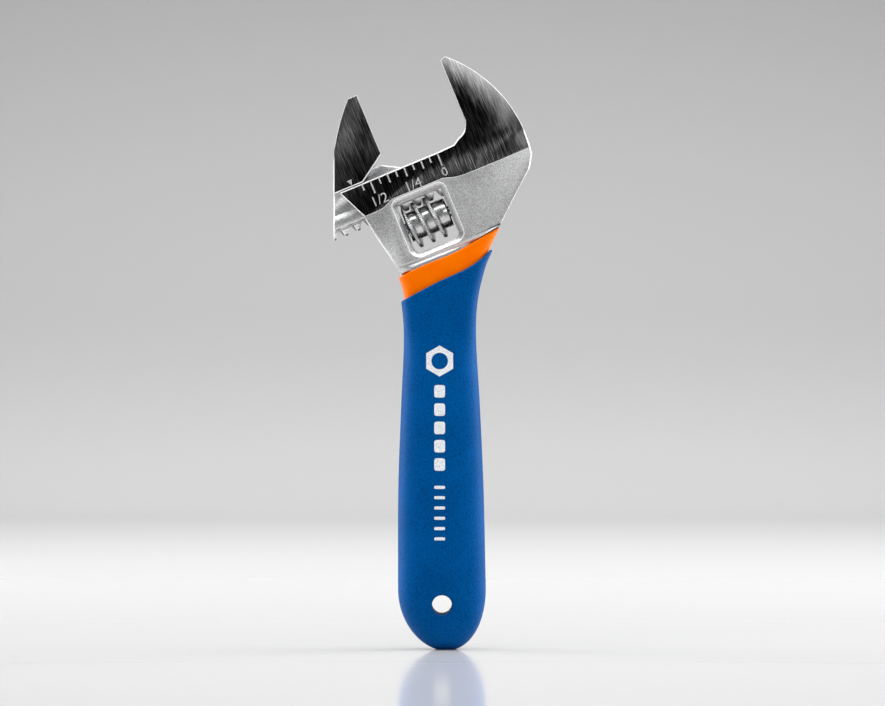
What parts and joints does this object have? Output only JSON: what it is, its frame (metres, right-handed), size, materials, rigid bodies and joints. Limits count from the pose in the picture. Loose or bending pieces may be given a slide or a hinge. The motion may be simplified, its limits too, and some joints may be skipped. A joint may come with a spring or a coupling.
{
  "type": "adjustable wrench",
  "caption": "Small adjustable wrench with an angled head, knurled worm, toothed moving jaw, inch scale and two-layer dipped grip with a hang hole.",
  "frame": {"origin": "middle of the flat on the end of the grip, on the handle's centreline", "axes": "+Z along the handle towards the head, +X towards the fixed jaw's side, the scale's face towards -Y"},
  "size_m": [0.0348, 0.0102, 0.104],
  "materials": {
    "forged_steel": "satin chrome plate, jaws ground",
    "bright_steel": "bright plate",
    "spring_steel": "bare wire",
    "inner_dip": "smooth vinyl, semi-gloss",
    "outer_dip": "pebbled vinyl"
  },
  "bodies": {
    "frame": {"wrench_body": "forged_steel", "worm_pin": "bright_steel", "worm_spring": "spring_steel", "grip_inner_sleeve": "inner_dip", "grip_outer_sleeve": "outer_dip"},
    "jaw": {"movable_jaw": "forged_steel"},
    "worm": {"adjusting_worm": "bright_steel"}
  },
  "joints": [
    {"name": "jaw_slide", "type": "slide", "parent": "frame", "child": "jaw", "axis": [0.9239, 0, 0.3827], "range_m": [0, 0.0157]},
    {"name": "worm_turn", "type": "hinge", "parent": "frame", "child": "worm", "pos_m": [-0.00158, 0, 0.07582], "axis": [0.9239, 0, 0.3827], "range_deg": [-2460, 0]}
  ],
  "couplings": [
    {"joint": "worm_turn", "follows": "jaw_slide", "rad_per_m": -2731.8}
  ]
}
